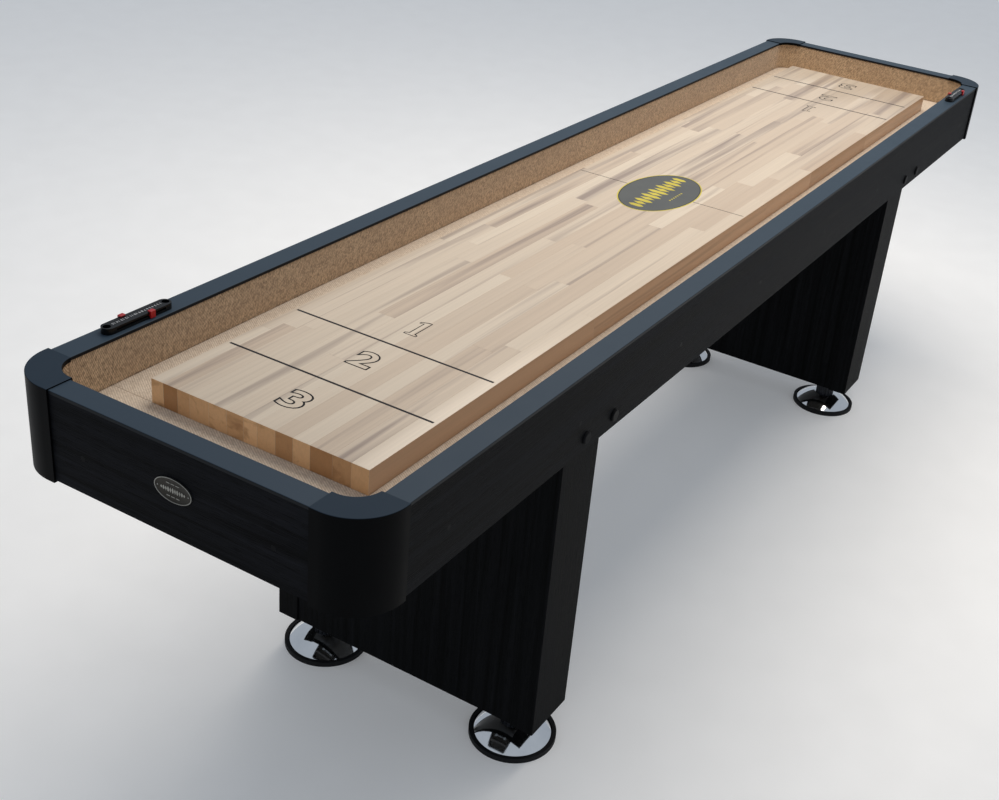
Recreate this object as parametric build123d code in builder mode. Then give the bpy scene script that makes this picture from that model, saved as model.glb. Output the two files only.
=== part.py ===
from build123d import *
import os

# Shuffleboard table, millimetres.  X runs along the table with the near end at -X,
# Y across it with the left side at +Y, and Z up from the floor.  The origin is on
# the floor under the middle of the table.

# ---------------------------------------------------------------- driving sizes
cabinet_length = 2743.2  # over the end rails
cabinet_width = 609.6  # over the side rails
rail_top = 787.4  # floor to the top of the rails
apron_bottom = 647.7  # floor to the lower edge of the aprons

rail_width = 38.1
rail_thickness = 5.0
rail_edge = 1.0  # rounding along the rails' long edges
apron_thickness = 25.4
liner_thickness = 11.5  # carpeted wall board inside the aprons

corner_radius = 73.2  # of the rails' outer edge, carried round the corner
corner_proud = 3.0  # how far a casting stands outside the aprons and rails
corner_rise = 2.0  # how far a casting stands above the rails
corner_drop = 3.0  # how far a casting hangs below the aprons
corner_inner_radius = 40.6  # of a casting's top along the gutter
corner_edge = 1.2
side_joint_run = 5.3  # straight part of a corner before the joint in a long side
end_joint_run = 12.8  # straight part of a corner before the joint in an end
tab_length = 34.0
tab_thickness = 5.0
tab_margin = 6.0

deck_thickness = 15.9
deck_gap = 0.3  # deck edge to aprons
carpet_thickness = 3.2
carpet_gap = 0.3
playfield_length = 2438.4
playfield_width = 381.0
playfield_thickness = 41.3
playfield_top = 753.1
playfield_edge = 1.2

brace_width = 45.0
brace_height = 40.0
outer_brace_inset = 228.6  # cabinet end to the middle of an outer brace
inner_brace_gap = 332.75  # middle of a leg to the middle of an inner brace

leg_inset = 524.5  # cabinet end to the leg's outer face
leg_depth = 114.3  # along the table
leg_fit = 0.25  # post to apron
leg_bottom = 71.1
post_thickness = 44.45
post_edge = 1.5
panel_thickness = 12.7
panel_recess = 3.0
foot_board_thickness = 32.0

leg_bolt_radius = 5.0
leg_bolt_head_radius = 10.5
leg_bolt_head_height = 4.0
leg_bolt_crown = 3.0  # rounding of a leg bolt's head
leg_bolt_spacing = 89.0
leg_bolt_height = 669.3
bolt_clearance = 0.5
insert_wall = 2.5
insert_length = 25.0
insert_fit = 0.05

screw_radius = 2.1
screw_head_radius = 4.0
screw_head_height = 1.6
screw_length = 45.0
screw_fit = 0.05
side_screw_count = 8
side_screw_pitch = 342.9
end_screw_spacing = 325.2
tab_screw_length = 18.0
tab_screw_pitch = 18.0

plaque_length = 63.5
plaque_height = 35.6
plaque_thickness = 2.6
plaque_rim = 3.0
plaque_field_depth = 0.8
plaque_centre = 721.4

scorer_length = 130.0
scorer_width = 21.0
scorer_height = 10.0
scorer_inset = 221.6  # cabinet end to the middle of a scorer
scorer_screw_spacing = 114.0
scorer_screw_seat = 4.0
scorer_ear_radius = 6.0
scorer_screw_length = 14.0
groove_height = 3.0
groove_depth = 4.0
groove_length = 96.0
groove_floor = 4.0
slider_length = 10.0
slider_fit = 0.15
slider_wall = 3.0
slider_cap = 2.2
slider_crown = 0.7  # rounding of a slider's top
slider_cap_reach = 4.0
slider_lift = 0.5  # slider to rail
slider_places = {"near_outer": -19.5, "near_inner": 19.2, "far_outer": -34.0, "far_inner": 18.0}

leveler_spacing = 421.0  # across the table
pad_margin = 7.0  # how far a rubber pad stands out beyond its disc
pad_height = 10.0
disc_radius = 71.5
disc_hub_radius = 27.0
disc_top = 34.0
disc_wall = 3.0
disc_floor = 4.0
disc_rim = 7.5
disc_bulge = 3.5  # how far the dome swells above a straight cone
disc_boss_radius = 14.0
disc_boss_bottom = 16.0
knob_radius = 23.0
knob_top = 63.0
knob_gap = 0.3
knob_flutes = 18
knob_flute_radius = 2.6
stud_radius = 6.35
stud_foot = 14.0
stud_top = 128.0
stud_fit = 0.05
socket_flange_radius = 14.0
socket_flange_thickness = 2.0
socket_wall = 2.4
socket_length = 24.0

adjuster_inset = 381.0  # cabinet end to an outer adjuster
adjuster_span = 300.0  # between the webs of a pair of brackets
adjuster_drop = 24.0  # deck underside to the rod's centre
bracket_width = 60.0
bracket_reach = 50.0
bracket_plate = 5.0
bracket_margin = 14.0
rod_radius = 6.0
rod_fit = 0.05
rod_stub = 12.0
rod_engagement = 40.0
turnbuckle_length = 110.0
turnbuckle_flats = 24.0
turnbuckle_fit = 0.05

# ---------------------------------------------------------------- derived places
half_length = cabinet_length / 2
half_width = cabinet_width / 2
rail_under = rail_top - rail_thickness
apron_height = rail_under - apron_bottom
apron_inside = half_width - apron_thickness
liner_inset = apron_thickness + liner_thickness
liner_inside = half_width - liner_inset
deck_top = playfield_top - playfield_thickness
deck_under = deck_top - deck_thickness
screw_height = deck_under + deck_thickness / 2
side_seam = corner_radius + side_joint_run  # cabinet end to the joint in a long side
end_seam = corner_radius + end_joint_run  # cabinet side to the joint in an end
side_length = cabinet_length - 2 * side_seam
end_length = cabinet_width - 2 * end_seam
leg_centre = half_length - leg_inset - leg_depth / 2
outer_brace = half_length - outer_brace_inset
inner_brace = leg_centre - inner_brace_gap
brace_places = (-outer_brace, -inner_brace, inner_brace, outer_brace)
adjuster_reach = half_length - adjuster_inset
adjuster_places = {"near": -adjuster_reach, "middle": 0.0, "far": adjuster_reach}
post_outer = apron_inside - leg_fit
post_inner = post_outer - post_thickness
panel_middle = leg_depth / 2 - panel_recess - panel_thickness / 2
foot_board_depth = 2 * (panel_middle - panel_thickness / 2)
insert_radius = leg_bolt_radius + insert_wall
scorer_centre_y = half_width - rail_width / 2
pad_radius = disc_radius + pad_margin
socket_radius = stud_radius + socket_wall

side_tab_middle = side_length / 2 - tab_length / 2
end_tab_middle = end_length / 2 - tab_length / 2

ends = {"near": -1, "far": 1}
sides = {"left": 1, "right": -1}
standing = (Align.CENTER, Align.CENTER, Align.MIN)  # a solid that rises from its plane

os.makedirs("parts", exist_ok=True)


def save(piece, name):
    """Label a finished piece and write it out."""
    piece.part.label = name
    export_step(piece.part, f"parts/{name}.step")


def outline(inset, radius=None, mode=Mode.ADD):
    """The cabinet's rounded plan, drawn in from the rails' outer edge by an inset."""
    rounding = corner_radius - inset if radius is None else radius
    RectangleRounded(cabinet_length - 2 * inset, cabinet_width - 2 * inset, rounding, mode=mode)


def keep_corner(x_sign, y_sign):
    """Trim a plan to one corner, outside the joints with the straight sides and ends."""
    reach_x = side_seam + corner_proud
    reach_y = end_seam + corner_proud
    middle_x = x_sign * (half_length - side_seam + reach_x / 2)
    middle_y = y_sign * (half_width - end_seam + reach_y / 2)
    with Locations((middle_x, middle_y)):
        Rectangle(reach_x, reach_y, mode=Mode.INTERSECT)


def side_screw_places():
    """Where the deck screws stand along a long side."""
    first = -side_screw_pitch * (side_screw_count - 1) / 2
    return [first + number * side_screw_pitch for number in range(side_screw_count)]


def leg_bolt_places():
    """Where the leg bolts stand along a long side, two to a leg."""
    return [x_sign * leg_centre + step * leg_bolt_spacing / 2 for x_sign in (-1, 1) for step in (-1, 1)]


def tab_screw_heights():
    """The heights of the two screws in each tab of a casting."""
    middle = (apron_bottom + deck_under) / 2
    return (middle - tab_screw_pitch / 2, middle + tab_screw_pitch / 2)


def rods(points, direction, radius, length, mode=Mode.ADD):
    """Round pins, or holes, that start at the points and run along the direction."""
    with Locations([Plane(point, z_dir=direction) for point in points]):
        Cylinder(radius, length, align=standing, mode=mode)


def drill(points, direction, radius, depth):
    """Round holes that start at the points and run along the direction."""
    rods(points, direction, radius, depth, mode=Mode.SUBTRACT)


def screws(points, direction, length, head_radius, head_height):
    """Flat-headed screws, with their heads at the points."""
    rods(points, direction, screw_radius, length)
    rods(points, direction, head_radius, head_height)


def board(x_low, x_high, y_low, y_high, thickness):
    """A rectangular board in plan, lying on the block's plane."""
    with Locations(((x_low + x_high) / 2, (y_low + y_high) / 2)):
        Box(x_high - x_low, abs(y_high - y_low), thickness, align=standing)


# ---------------------------------------------------------------- places of the fasteners
side_deck_screws = {
    side: [(x, y_sign * half_width, screw_height) for x in side_screw_places()]
    for side, y_sign in sides.items()
}
end_deck_screws = {
    end: [(x_sign * half_length, step * end_screw_spacing / 2, screw_height) for step in (-1, 1)]
    for end, x_sign in ends.items()
}
leg_bolts = {
    side: [(x, y_sign * half_width, leg_bolt_height) for x in leg_bolt_places()]
    for side, y_sign in sides.items()
}
side_tab_screws = {
    side: [
        (x_sign * side_tab_middle, y_sign * (apron_inside - tab_thickness), height)
        for x_sign in ends.values()
        for height in tab_screw_heights()
    ]
    for side, y_sign in sides.items()
}
end_tab_screws = {
    end: [
        (x_sign * (half_length - apron_thickness - tab_thickness), y_sign * end_tab_middle, height)
        for y_sign in sides.values()
        for height in tab_screw_heights()
    ]
    for end, x_sign in ends.items()
}

scorer_middles = {"left": -(half_length - scorer_inset), "right": half_length - scorer_inset}
scorer_ears = {
    side: [
        (scorer_middles[side] + step * scorer_screw_spacing / 2, y_sign * scorer_centre_y, rail_top)
        for step in (-1, 1)
    ]
    for side, y_sign in sides.items()
}

# ---------------------------------------------------------------- long side aprons
# Laminated boards, drilled for the leg bolts and the deck screws, and on the inside
# for the screws that come through the tabs of the corner castings.
for side, y_sign in sides.items():
    inward = (0, -y_sign, 0)
    outward = (0, y_sign, 0)
    with BuildPart(Plane.XY.offset(apron_bottom)) as side_apron:
        board(-side_length / 2, side_length / 2, y_sign * apron_inside, y_sign * half_width, apron_height)
    with BuildPart() as drilled_side_apron:
        add(side_apron.part)
        drill(side_deck_screws[side], inward, screw_radius + screw_fit, apron_thickness)
        drill(side_deck_screws[side], inward, screw_head_radius + screw_fit, screw_head_height)
        drill(leg_bolts[side], inward, leg_bolt_radius + bolt_clearance, apron_thickness)
        drill(side_tab_screws[side], outward, screw_radius + screw_fit, tab_screw_length)
        drill(scorer_ears[side], (0, 0, -1), screw_radius + screw_fit, scorer_screw_length)
    save(drilled_side_apron, f"side_apron_{side}")

# ---------------------------------------------------------------- end aprons
for end, x_sign in ends.items():
    inward = (-x_sign, 0, 0)
    outward = (x_sign, 0, 0)
    inner_face = x_sign * (half_length - apron_thickness)
    with BuildPart(Plane.XY.offset(apron_bottom)) as end_apron:
        with Locations((x_sign * (half_length - apron_thickness / 2), 0)):
            Box(apron_thickness, end_length, apron_height, align=standing)
    with BuildPart() as drilled_end_apron:
        add(end_apron.part)
        drill(end_deck_screws[end], inward, screw_radius + screw_fit, apron_thickness)
        drill(end_deck_screws[end], inward, screw_head_radius + screw_fit, screw_head_height)
        drill(end_tab_screws[end], outward, screw_radius + screw_fit, tab_screw_length)
    save(drilled_end_apron, f"end_apron_{end}")

# ---------------------------------------------------------------- corner castings
# Each is one moulding: a flat cap level with the rails, a curved skirt below it that
# closes the corner between two aprons, and a tab behind each apron to screw it to.
tab_bottom = apron_bottom + tab_margin
tab_height = deck_under - tab_margin - tab_bottom
for end, x_sign in ends.items():
    for side, y_sign in sides.items():
        with BuildPart() as corner_casting:
            with BuildSketch(Plane.XY.offset(apron_bottom - corner_drop)):
                outline(-corner_proud)
                outline(apron_thickness, mode=Mode.SUBTRACT)
                keep_corner(x_sign, y_sign)
            extrude(amount=rail_under - apron_bottom + corner_drop)
            with BuildSketch(Plane.XY.offset(rail_under)):
                outline(-corner_proud)
                outline(rail_width + corner_proud, corner_inner_radius, mode=Mode.SUBTRACT)
                keep_corner(x_sign, y_sign)
            extrude(amount=rail_thickness + corner_rise)
            top_edges = corner_casting.edges().group_by(Axis.Z)[-1].filter_by(GeomType.LINE, reverse=True)
            fillet(top_edges, corner_edge)
            with BuildSketch(Plane.XY.offset(tab_bottom)):
                with Locations((x_sign * side_tab_middle, y_sign * (apron_inside - tab_thickness / 2))):
                    Rectangle(tab_length, tab_thickness)
                root_x = x_sign * (side_length / 2 + tab_thickness / 2)
                with Locations((root_x, y_sign * (apron_inside - tab_thickness / 2))):
                    Rectangle(tab_thickness, tab_thickness)
                inner_face = x_sign * (half_length - apron_thickness - tab_thickness / 2)
                with Locations((inner_face, y_sign * end_tab_middle)):
                    Rectangle(tab_thickness, tab_length)
                root_y = y_sign * (end_length / 2 + tab_thickness / 2)
                with Locations((inner_face, root_y)):
                    Rectangle(tab_thickness, tab_thickness)
            extrude(amount=tab_height)
            own_side = [point for point in side_tab_screws[side] if point[0] * x_sign > 0]
            own_end = [point for point in end_tab_screws[end] if point[1] * y_sign > 0]
            for points, outward in ((own_side, (0, y_sign, 0)), (own_end, (x_sign, 0, 0))):
                drill(points, outward, screw_radius + screw_fit, tab_thickness)
                drill(points, outward, screw_head_radius + screw_fit, screw_head_height)
        save(corner_casting, f"corner_casting_{end}_{side}")

# ---------------------------------------------------------------- rails
# Flat caps that cover the top edges of the aprons and of the carpeted liners.
for side, y_sign in sides.items():
    with BuildPart(Plane.XY.offset(rail_under)) as side_rail:
        with Locations((0, scorer_centre_y * y_sign)):
            Box(side_length, rail_width, rail_thickness, align=standing)
        fillet(side_rail.edges().filter_by(Axis.X).group_by(Axis.Z)[-1], rail_edge)
        with Locations(Plane.XY.offset(-rail_under)):
            drill(scorer_ears[side], (0, 0, -1), screw_radius + screw_fit, rail_thickness)
    save(side_rail, f"side_rail_{side}")

for end, x_sign in ends.items():
    with BuildPart(Plane.XY.offset(rail_under)) as end_rail:
        with Locations((x_sign * (half_length - rail_width / 2), 0)):
            Box(rail_width, end_length, rail_thickness, align=standing)
        fillet(end_rail.edges().filter_by(Axis.Y).group_by(Axis.Z)[-1], rail_edge)
    save(end_rail, f"end_rail_{end}")

# ---------------------------------------------------------------- deck
# The board under the whole gutter, screwed through its edges from outside the aprons.
with BuildPart() as deck_board:
    with BuildSketch(Plane.XY.offset(deck_under)):
        outline(apron_thickness + deck_gap)
    extrude(amount=deck_thickness)
    for side, y_sign in sides.items():
        drill(side_deck_screws[side], (0, -y_sign, 0), screw_radius + screw_fit, screw_length)
    for end, x_sign in ends.items():
        drill(end_deck_screws[end], (-x_sign, 0, 0), screw_radius + screw_fit, screw_length)
save(deck_board, "deck_board")

with BuildPart(Plane.XY.offset(deck_under - brace_height)) as deck_braces:
    with Locations([(place, 0) for place in brace_places]):
        Box(brace_width, 2 * apron_inside, brace_height, align=standing)
save(deck_braces, "deck_braces")

# ---------------------------------------------------------------- gutter liners
# Carpeted wall boards.  The end ones turn both rounded corners.
liner_height = rail_under - deck_top
for side, y_sign in sides.items():
    with BuildPart(Plane.XY.offset(deck_top)) as side_liner:
        with Locations((0, y_sign * (apron_inside - liner_thickness / 2))):
            Box(side_length, liner_thickness, liner_height, align=standing)
    save(side_liner, f"side_liner_{side}")

for end, x_sign in ends.items():
    with BuildPart() as end_liner:
        with BuildSketch(Plane.XY.offset(deck_top)):
            outline(apron_thickness)
            outline(liner_inset, mode=Mode.SUBTRACT)
            with Locations((x_sign * half_length, 0)):
                Rectangle(2 * side_seam, cabinet_width, mode=Mode.INTERSECT)
        extrude(amount=liner_height)
    save(end_liner, f"end_liner_{end}")

# ---------------------------------------------------------------- gutter carpets
half_playfield_length = playfield_length / 2
half_playfield_width = playfield_width / 2
carpet_side_width = liner_inside - half_playfield_width - 2 * carpet_gap
for side, y_sign in sides.items():
    with BuildPart(Plane.XY.offset(deck_top)) as side_carpet:
        with Locations((0, y_sign * (half_playfield_width + liner_inside) / 2)):
            Box(playfield_length - carpet_gap, carpet_side_width, carpet_thickness, align=standing)
    save(side_carpet, f"side_carpet_{side}")

for end, x_sign in ends.items():
    carpet_low = half_playfield_length + carpet_gap
    with BuildPart() as end_carpet:
        with BuildSketch(Plane.XY.offset(deck_top)):
            outline(liner_inset + carpet_gap)
            with Locations((x_sign * (carpet_low + half_length) / 2, 0)):
                Rectangle(half_length - carpet_low, cabinet_width, mode=Mode.INTERSECT)
        extrude(amount=carpet_thickness)
    save(end_carpet, f"end_carpet_{end}")

# ---------------------------------------------------------------- playfield
with BuildPart(Plane.XY.offset(deck_top)) as playfield:
    Box(playfield_length, playfield_width, playfield_thickness, align=standing)
    fillet(playfield.edges().group_by(Axis.Z)[-1], playfield_edge)
save(playfield, "playfield")

# ---------------------------------------------------------------- climatic adjusters
# Three pairs of steel angle brackets under the deck.  A stud with a left-hand thread
# and one with a right-hand thread meet in a turnbuckle, which pulls the pair together
# or pushes it apart and so bends the playfield above.
rod_height = deck_under - adjuster_drop
web_centre = adjuster_span / 2
web_drop = adjuster_drop + bracket_margin
rod_start = web_centre + rod_stub
rod_length = rod_start - turnbuckle_length / 2 + rod_engagement
plate_centre = web_centre + bracket_plate / 2 - bracket_reach / 2
with BuildPart() as adjuster_brackets:
    with BuildSketch(Plane.XY.offset(deck_under - bracket_plate)):
        with Locations([(x, y * plate_centre) for x in adjuster_places.values() for y in (-1, 1)]):
            Rectangle(bracket_width, bracket_reach)
    extrude(amount=bracket_plate)
    with BuildSketch(Plane.XY.offset(deck_under - web_drop)):
        with Locations([(x, y * web_centre) for x in adjuster_places.values() for y in (-1, 1)]):
            Rectangle(bracket_width, bracket_plate)
    extrude(amount=web_drop)
    ends_of_studs = [(x, y * rod_start, rod_height) for x in adjuster_places.values() for y in (-1, 1)]
    near_side = [point for point in ends_of_studs if point[1] < 0]
    drill(near_side, (0, 1, 0), rod_radius + rod_fit, 2 * rod_start)
    for y_sign in sides.values():
        starts = [point for point in ends_of_studs if point[1] * y_sign > 0]
        rods(starts, (0, -y_sign, 0), rod_radius, rod_length)
save(adjuster_brackets, "adjuster_brackets_and_studs")

for place, x in adjuster_places.items():
    with BuildPart() as turnbuckle:
        with BuildSketch(Plane((x, -turnbuckle_length / 2, rod_height), z_dir=(0, 1, 0))):
            RegularPolygon(turnbuckle_flats / 2, 6, major_radius=False)
            Circle(rod_radius + turnbuckle_fit, mode=Mode.SUBTRACT)
        extrude(amount=turnbuckle_length)
    save(turnbuckle, f"adjuster_turnbuckle_{place}")

# ---------------------------------------------------------------- legs
# Two hollow pedestals.  Their posts stand up between the aprons to the deck.
leg_height = deck_under - leg_bottom
panel_width = 2 * post_inner
for end, x_sign in ends.items():
    middle = x_sign * leg_centre
    for side, y_sign in sides.items():
        inward = (0, -y_sign, 0)
        seats = [
            (middle + step * leg_bolt_spacing / 2, y_sign * post_outer, leg_bolt_height) for step in (-1, 1)
        ]
        with BuildPart() as leg_post:
            with BuildSketch(Plane.XY.offset(leg_bottom)):
                with Locations((middle, y_sign * (post_outer + post_inner) / 2)):
                    Rectangle(leg_depth, post_thickness)
            extrude(amount=leg_height)
            fillet(leg_post.edges().filter_by(Axis.Z), post_edge)
            drill(seats, inward, insert_radius, insert_length)
            drill(seats, inward, leg_bolt_radius + bolt_clearance, post_thickness - 2 * bolt_clearance)
        save(leg_post, f"leg_post_{end}_{side}")

    with BuildPart(Plane.XY.offset(leg_bottom)) as leg_panels:
        with Locations((middle - panel_middle, 0), (middle + panel_middle, 0)):
            Box(panel_thickness, panel_width, leg_height, align=standing)
    save(leg_panels, f"leg_panels_{end}")

    sockets = [(middle, step * leveler_spacing / 2, leg_bottom) for step in (-1, 1)]
    with BuildPart() as leg_foot_board:
        with BuildSketch(Plane.XY.offset(leg_bottom)):
            with Locations((middle, 0)):
                Rectangle(foot_board_depth, panel_width)
        extrude(amount=foot_board_thickness)
        drill(sockets, (0, 0, 1), socket_radius, foot_board_thickness)
        drill(sockets, (0, 0, 1), socket_flange_radius, socket_flange_thickness)
    save(leg_foot_board, f"leg_foot_board_{end}")

# ---------------------------------------------------------------- leg bolts and inserts
bolt_reach = apron_thickness + leg_fit + insert_length
with BuildPart() as leg_bolt_group:
    for side, y_sign in sides.items():
        rods(leg_bolts[side], (0, -y_sign, 0), leg_bolt_radius, bolt_reach)
    for side, y_sign in sides.items():
        for x, y, z in leg_bolts[side]:
            with BuildSketch(Plane((x, y, z), z_dir=(0, y_sign, 0))):
                Circle(leg_bolt_head_radius)
            extrude(amount=leg_bolt_head_height)
    crowns = leg_bolt_group.edges().filter_by(
        lambda edge: abs(abs(edge.center().Y) - half_width - leg_bolt_head_height) < 0.1
    )
    fillet(crowns, leg_bolt_crown)
save(leg_bolt_group, "leg_bolts")

with BuildPart() as leg_inserts:
    for side, y_sign in sides.items():
        seats = [(x, y_sign * post_outer, leg_bolt_height) for x in leg_bolt_places()]
        rods(seats, (0, -y_sign, 0), insert_radius, insert_length)
        drill(seats, (0, -y_sign, 0), leg_bolt_radius + insert_fit, insert_length)
save(leg_inserts, "leg_bolt_inserts")

# ---------------------------------------------------------------- screws
with BuildPart() as deck_screws:
    for side, y_sign in sides.items():
        screws(side_deck_screws[side], (0, -y_sign, 0), screw_length, screw_head_radius, screw_head_height)
    for end, x_sign in ends.items():
        screws(end_deck_screws[end], (-x_sign, 0, 0), screw_length, screw_head_radius, screw_head_height)
save(deck_screws, "deck_screws")

with BuildPart() as corner_screws:
    for side, y_sign in sides.items():
        screws(side_tab_screws[side], (0, y_sign, 0), tab_screw_length, screw_head_radius, screw_head_height)
    for end, x_sign in ends.items():
        screws(end_tab_screws[end], (x_sign, 0, 0), tab_screw_length, screw_head_radius, screw_head_height)
save(corner_screws, "corner_screws")

# ---------------------------------------------------------------- scorers
# A bar on one rail at each end, with a slider in the groove along each of its sides.
# Both bars stand the same way round for the player at their own end.
for (end, x_sign), (side, y_sign) in zip(ends.items(), sides.items()):
    middle = scorer_middles[side]
    centre_y = y_sign * scorer_centre_y
    with BuildPart() as scorer_body:
        with BuildSketch(Plane((middle, centre_y, rail_top))):
            SlotOverall(scorer_length, scorer_width)
        extrude(amount=scorer_height)
        with BuildSketch(Plane((middle, centre_y, rail_top + groove_floor))):
            for step in (-1, 1):
                with Locations((0, step * (scorer_width - groove_depth) / 2)):
                    Rectangle(groove_length, groove_depth)
        extrude(amount=groove_height, mode=Mode.SUBTRACT)
        seats = [(x, y, rail_top + scorer_screw_seat) for x, y, z in scorer_ears[side]]
        drill(scorer_ears[side], (0, 0, 1), screw_radius + screw_fit, scorer_height)
        drill(seats, (0, 0, 1), scorer_ear_radius, scorer_height)
    save(scorer_body, f"scorer_body_{end}_{side}")

    for face, y_turn in (("outer", y_sign), ("inner", -y_sign)):
        x = middle - x_sign * slider_places[f"{end}_{face}"] - y_turn * slider_length / 2
        across = Plane((x, centre_y, rail_top), x_dir=(0, y_turn, 0), z_dir=(y_turn, 0, 0))
        wall_start = scorer_width / 2 + slider_fit
        wall_end = wall_start + slider_wall
        cap_start = scorer_width / 2 - slider_cap_reach
        cap_under = scorer_height + slider_fit
        tongue_start = scorer_width / 2 - groove_depth + slider_fit
        tongue_low = groove_floor + slider_fit
        tongue_high = groove_floor + groove_height - slider_fit
        with BuildPart() as score_slider:
            with BuildSketch(across):
                with BuildLine():
                    Polyline(
                        (wall_end, slider_lift),
                        (wall_end, cap_under + slider_cap),
                        (cap_start, cap_under + slider_cap),
                        (cap_start, cap_under),
                        (wall_start, cap_under),
                        (wall_start, tongue_high),
                        (tongue_start, tongue_high),
                        (tongue_start, tongue_low),
                        (wall_start, tongue_low),
                        (wall_start, slider_lift),
                        close=True,
                    )
                make_face()
            extrude(amount=slider_length)
            crown = score_slider.edges().group_by(Axis.Z)[-1]
            fillet(crown, slider_crown)
        save(score_slider, f"score_slider_{end}_{face}")

with BuildPart() as scorer_screws:
    for side in sides:
        heads = [(x, y, rail_top + scorer_screw_seat) for x, y, z in scorer_ears[side]]
        rods(heads, (0, 0, -1), screw_radius, scorer_screw_length)
        rods(heads, (0, 0, 1), screw_head_radius, screw_head_height)
save(scorer_screws, "scorer_screws")

# ---------------------------------------------------------------- plaque
badge_face = Plane((-half_length, 0, plaque_centre), x_dir=(0, -1, 0), z_dir=(-1, 0, 0))
with BuildPart() as plaque:
    with BuildSketch(badge_face):
        Ellipse(plaque_length / 2, plaque_height / 2)
    extrude(amount=plaque_thickness)
    with BuildSketch(badge_face.offset(plaque_thickness - plaque_field_depth)):
        Ellipse(plaque_length / 2 - plaque_rim, plaque_height / 2 - plaque_rim)
    extrude(amount=plaque_field_depth, mode=Mode.SUBTRACT)
save(plaque, "plaque")

# ---------------------------------------------------------------- levelers
# Each foot is a chromed dome in a rubber tread.  A threaded stud with a fluted knob
# stands in the dome and screws up into a socket in the leg's foot board.
stud_bottom = disc_top - stud_foot
dome_run = disc_radius - disc_hub_radius
dome_rise = disc_top - disc_rim
dome_mid_radius = disc_hub_radius + dome_run / 2
dome_mid_height = disc_rim + dome_rise / 2 + disc_bulge
for end, x_sign in ends.items():
    for side, y_sign in sides.items():
        x = x_sign * leg_centre
        y = y_sign * leveler_spacing / 2
        upright = Plane((x, y, 0), x_dir=(1, 0, 0), z_dir=(0, -1, 0))
        spindle = Axis((x, y, 0), (0, 0, 1))

        with BuildPart() as leveler_pad:
            rods([(x, y, 0)], (0, 0, 1), pad_radius, pad_height)
            drill([(x, y, disc_floor)], (0, 0, 1), disc_radius, pad_height)
        save(leveler_pad, f"leveler_pad_{end}_{side}")

        with BuildPart() as leveler_disc:
            with BuildSketch(upright):
                with BuildLine():
                    Polyline(
                        (disc_radius - disc_wall, disc_floor),
                        (disc_radius, disc_floor),
                        (disc_radius, disc_rim),
                    )
                    ThreePointArc(
                        (disc_radius, disc_rim),
                        (dome_mid_radius, dome_mid_height),
                        (disc_hub_radius, disc_top),
                    )
                    Polyline(
                        (disc_hub_radius, disc_top),
                        (stud_radius + stud_fit, disc_top),
                        (stud_radius + stud_fit, stud_bottom - knob_gap),
                        (0, stud_bottom - knob_gap),
                        (0, disc_boss_bottom),
                        (disc_boss_radius, disc_boss_bottom),
                        (disc_boss_radius, disc_top - disc_wall),
                        (disc_hub_radius, disc_top - disc_wall),
                    )
                    ThreePointArc(
                        (disc_hub_radius, disc_top - disc_wall),
                        (dome_mid_radius - disc_wall / 2, dome_mid_height - disc_wall),
                        (disc_radius - disc_wall, disc_floor),
                    )
                make_face()
            revolve(axis=spindle)
        save(leveler_disc, f"leveler_disc_{end}_{side}")

        knob_bottom = disc_top + knob_gap
        with BuildPart() as leveler_stud:
            rods([(x, y, stud_bottom)], (0, 0, 1), stud_radius, stud_top - stud_bottom)
            rods([(x, y, knob_bottom)], (0, 0, 1), knob_radius, knob_top - knob_bottom)
            with BuildSketch(Plane((x, y, knob_bottom))):
                with PolarLocations(knob_radius, knob_flutes):
                    Circle(knob_flute_radius)
            extrude(amount=knob_top - knob_bottom, mode=Mode.SUBTRACT)
        save(leveler_stud, f"leveler_stud_{end}_{side}")

with BuildPart() as leveler_sockets:
    seats = [
        (x_sign * leg_centre, y_sign * leveler_spacing / 2, leg_bottom)
        for x_sign in ends.values()
        for y_sign in sides.values()
    ]
    rods(seats, (0, 0, 1), socket_flange_radius, socket_flange_thickness)
    rods(seats, (0, 0, 1), socket_radius, socket_length)
    drill(seats, (0, 0, 1), stud_radius + stud_fit, socket_length)
save(leveler_sockets, "leveler_sockets")
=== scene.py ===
import math
import random

import bmesh
import bpy
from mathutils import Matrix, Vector


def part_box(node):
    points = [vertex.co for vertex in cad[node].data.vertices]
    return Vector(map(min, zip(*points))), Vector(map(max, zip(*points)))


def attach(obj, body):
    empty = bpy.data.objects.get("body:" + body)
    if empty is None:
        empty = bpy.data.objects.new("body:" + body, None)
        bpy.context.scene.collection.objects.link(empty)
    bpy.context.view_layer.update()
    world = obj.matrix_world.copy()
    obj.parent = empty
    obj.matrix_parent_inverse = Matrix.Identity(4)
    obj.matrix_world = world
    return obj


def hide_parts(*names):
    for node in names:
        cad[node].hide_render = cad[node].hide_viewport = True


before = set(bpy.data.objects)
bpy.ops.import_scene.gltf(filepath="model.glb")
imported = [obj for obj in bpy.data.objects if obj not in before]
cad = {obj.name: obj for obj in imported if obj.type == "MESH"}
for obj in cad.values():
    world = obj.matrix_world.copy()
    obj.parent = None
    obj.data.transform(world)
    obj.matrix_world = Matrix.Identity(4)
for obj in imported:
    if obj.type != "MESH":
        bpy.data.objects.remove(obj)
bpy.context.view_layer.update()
ends = {"near": -1, "far": 1}
sides = {"left": 1, "right": -1}
inch = 0.0254
weld_distance = 0.00002
tolerance = 0.0001
random.seed(11)


# ---------------------------------------------------------------- handling pieces
def take(*pieces):
    """Leaves only these pieces selected, the first of them active."""
    if bpy.context.object and bpy.context.object.mode != "OBJECT":
        bpy.ops.object.mode_set(mode="OBJECT")
    bpy.ops.object.select_all(action="DESELECT")
    for piece in pieces:
        piece.select_set(True)
    if pieces:
        bpy.context.view_layer.objects.active = pieces[0]


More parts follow.
